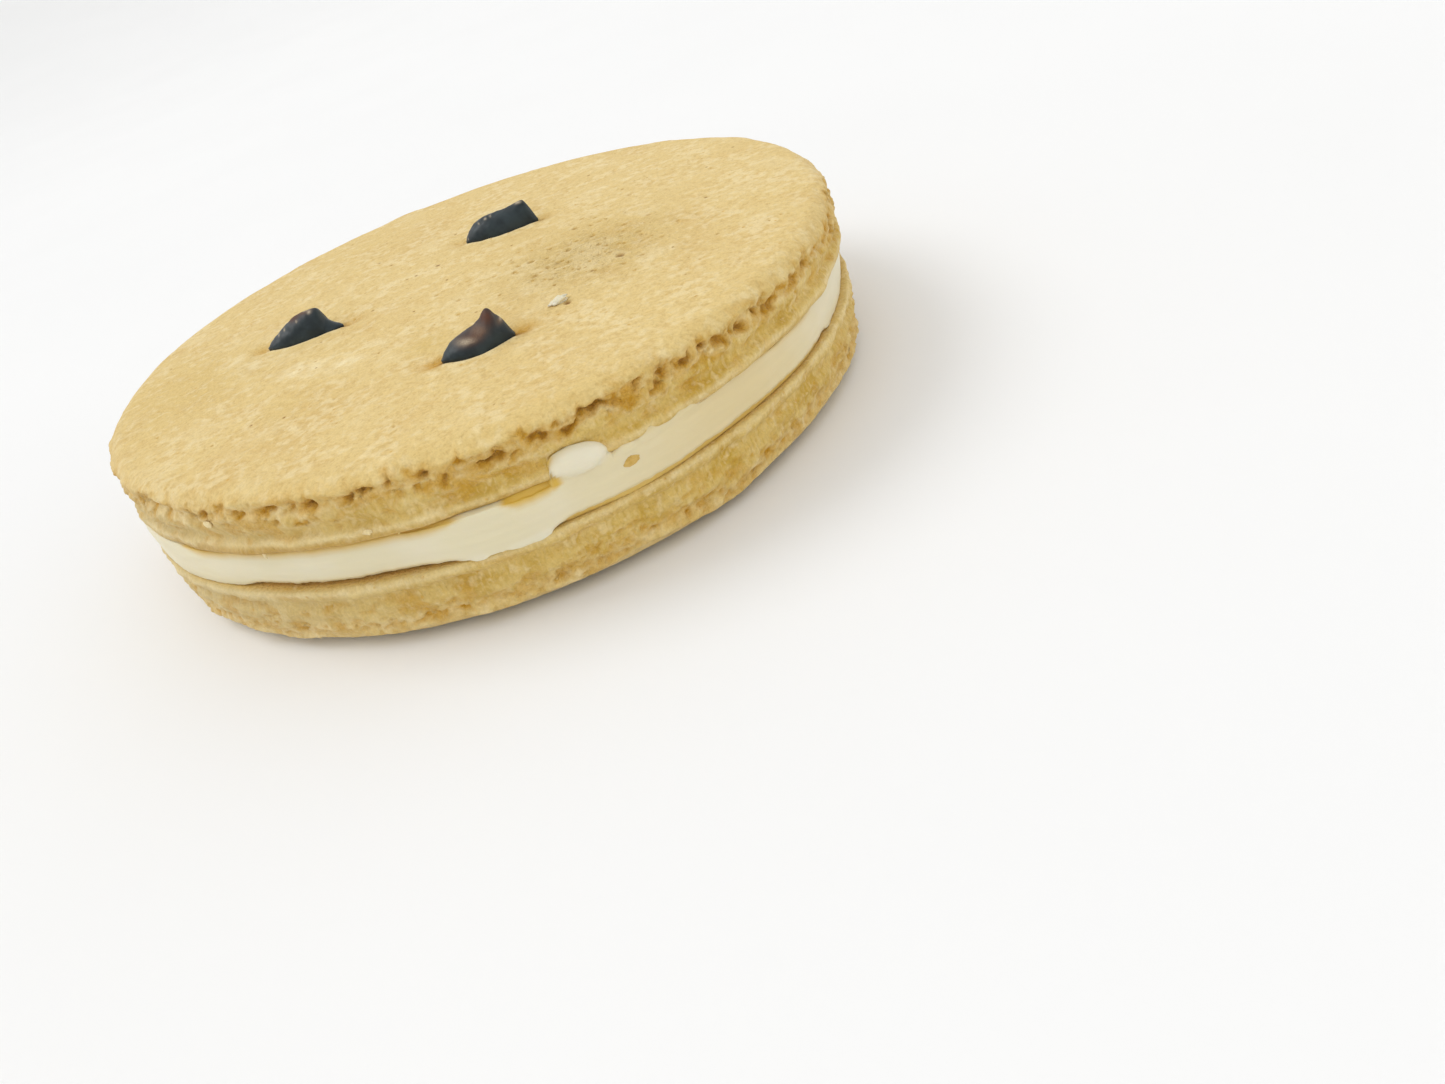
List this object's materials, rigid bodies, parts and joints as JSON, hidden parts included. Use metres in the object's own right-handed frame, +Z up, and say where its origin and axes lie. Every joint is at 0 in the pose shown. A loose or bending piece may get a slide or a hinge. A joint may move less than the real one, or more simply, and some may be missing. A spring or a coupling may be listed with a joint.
{
  "type": "cream sandwich cookie",
  "caption": "Round sandwich cookie: a cream layer between two pale baked biscuits with torn rims and chocolate chips in the upper face.",
  "frame": {"origin": "middle of the flat spot under the lower biscuit, on which the cookie rests", "axes": "+Z up through the two biscuits and the cream, -Y towards the side with the smear of cream, +X to the right of it"},
  "size_m": [0.0704, 0.0713, 0.0179],
  "materials": {
    "upper_crust": "matt baked crust, pale golden, with fine wrinkles and brown specks",
    "lower_crust": "matt baked crust, golden",
    "cream": "smooth satin cream, ivory white",
    "chocolate": "satin dark chocolate, near black"
  },
  "bodies": {
    "root": {"upper_biscuit": "upper_crust", "lower_biscuit": "lower_crust", "cream": "cream", "chip_left": "chocolate", "chip_front": "chocolate", "chip_back": "chocolate"}
  },
  "joints": []
}
